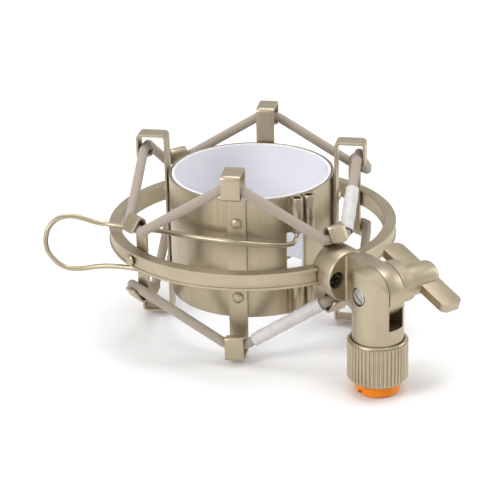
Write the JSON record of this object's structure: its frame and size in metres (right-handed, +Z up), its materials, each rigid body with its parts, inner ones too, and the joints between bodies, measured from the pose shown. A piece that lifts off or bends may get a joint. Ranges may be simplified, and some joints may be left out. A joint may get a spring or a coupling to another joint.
{
  "type": "microphone shock mount",
  "caption": "Champagne metal spider shock mount: split sleeve hung on elastic cords in a ring, with a wire loop, tilting wing-knob bracket and threaded stand socket.",
  "frame": {"origin": "middle of the thread reducer's lower face, on the stand's axis", "axes": "+Z up along the stand's axis, +Y from the stand to the sleeve that holds the microphone, +X towards the wing knob"},
  "size_m": [0.1277, 0.1501, 0.0738],
  "materials": {
    "champagne_sheet": "satin plated",
    "champagne_band": "fine vertical brushing",
    "champagne_turned": "satin plated",
    "rivet_metal": "satin plated",
    "lining_plastic": "smooth",
    "elastic_braid": "fine braid",
    "white_sleeve": "slightly wrinkled",
    "wire_metal": "satin plated",
    "orange_plastic": "smooth",
    "grey_screw": "turned",
    "dark_screw": "blackened"
  },
  "bodies": {
    "nut": {"ribbed_nut": "champagne_turned"},
    "reducer": {"thread_reducer": "orange_plastic"},
    "stem": {"swivel_stem": "champagne_turned", "pivot_screw": "grey_screw"},
    "knob": {"wing_knob": "champagne_turned"},
    "ring": {"outer_ring": "champagne_sheet", "stand_bracket": "champagne_turned", "clamp_screw": "dark_screw", "outer_strip_front": "champagne_sheet", "outer_strip_right": "champagne_sheet", "outer_strip_rear": "champagne_sheet", "outer_strip_left": "champagne_sheet", "rivet_ring_right": "rivet_metal", "rivet_ring_rear": "rivet_metal", "rivet_ring_left": "rivet_metal"},
    "cradle": {"clamp_band_right": "champagne_band", "clamp_lining_right": "lining_plastic", "inner_strip_right_front": "champagne_sheet", "inner_strip_right_rear": "champagne_sheet", "rivet_right_front_upper": "rivet_metal", "rivet_right_front_lower": "rivet_metal", "rivet_right_rear_upper": "rivet_metal", "rivet_right_rear_lower": "rivet_metal", "elastic_upper": "elastic_braid", "elastic_lower": "elastic_braid", "cord_sleeve_upper": "white_sleeve", "cord_sleeve_lower": "white_sleeve"},
    "jaw": {"clamp_band_left": "champagne_band", "clamp_lining_left": "lining_plastic", "inner_strip_left_front": "champagne_sheet", "inner_strip_left_rear": "champagne_sheet", "rivet_left_front_upper": "rivet_metal", "rivet_left_front_lower": "rivet_metal", "rivet_left_rear_upper": "rivet_metal", "rivet_left_rear_lower": "rivet_metal"},
    "handle": {"wire_handle": "wire_metal"}
  },
  "joints": [
    {"name": "reducer_slide", "type": "slide", "parent": "nut", "child": "reducer", "axis": [0, 0, -1], "range_m": [0, 0.014]},
    {"name": "stem_swivel", "type": "hinge", "parent": "nut", "child": "stem", "pos_m": [0, 0, 0.0123], "axis": [0, 0, 1], "continuous": true},
    {"name": "knob_turn", "type": "hinge", "parent": "stem", "child": "knob", "pos_m": [0.012, 0, 0.038], "axis": [1, 0, 0], "continuous": true},
    {"name": "ring_tilt", "type": "hinge", "parent": "stem", "child": "ring", "pos_m": [0, 0, 0.038], "axis": [1, 0, 0], "range_deg": [-10, 90]},
    {"name": "cradle_float", "type": "slide", "parent": "ring", "child": "cradle", "axis": [0, 0, 1], "range_m": [-0.0012, 0.003], "stiffness_N_per_m": 2500, "deforming": ["elastic_upper", "elastic_lower", "cord_sleeve_upper", "cord_sleeve_lower"]},
    {"name": "jaw_open", "type": "hinge", "parent": "cradle", "child": "jaw", "pos_m": [0, 0.1068, 0.0372], "axis": [0, 0, -1], "range_deg": [0, 2.5], "stiffness_Nm_per_rad": 1.2, "springref_deg": -2.86},
    {"name": "handle_swing", "type": "hinge", "parent": "jaw", "child": "handle", "pos_m": [-0.00266, 0.04381, 0.0381], "axis": [0, 0, 1], "range_deg": [-1.5, 1.5]}
  ]
}
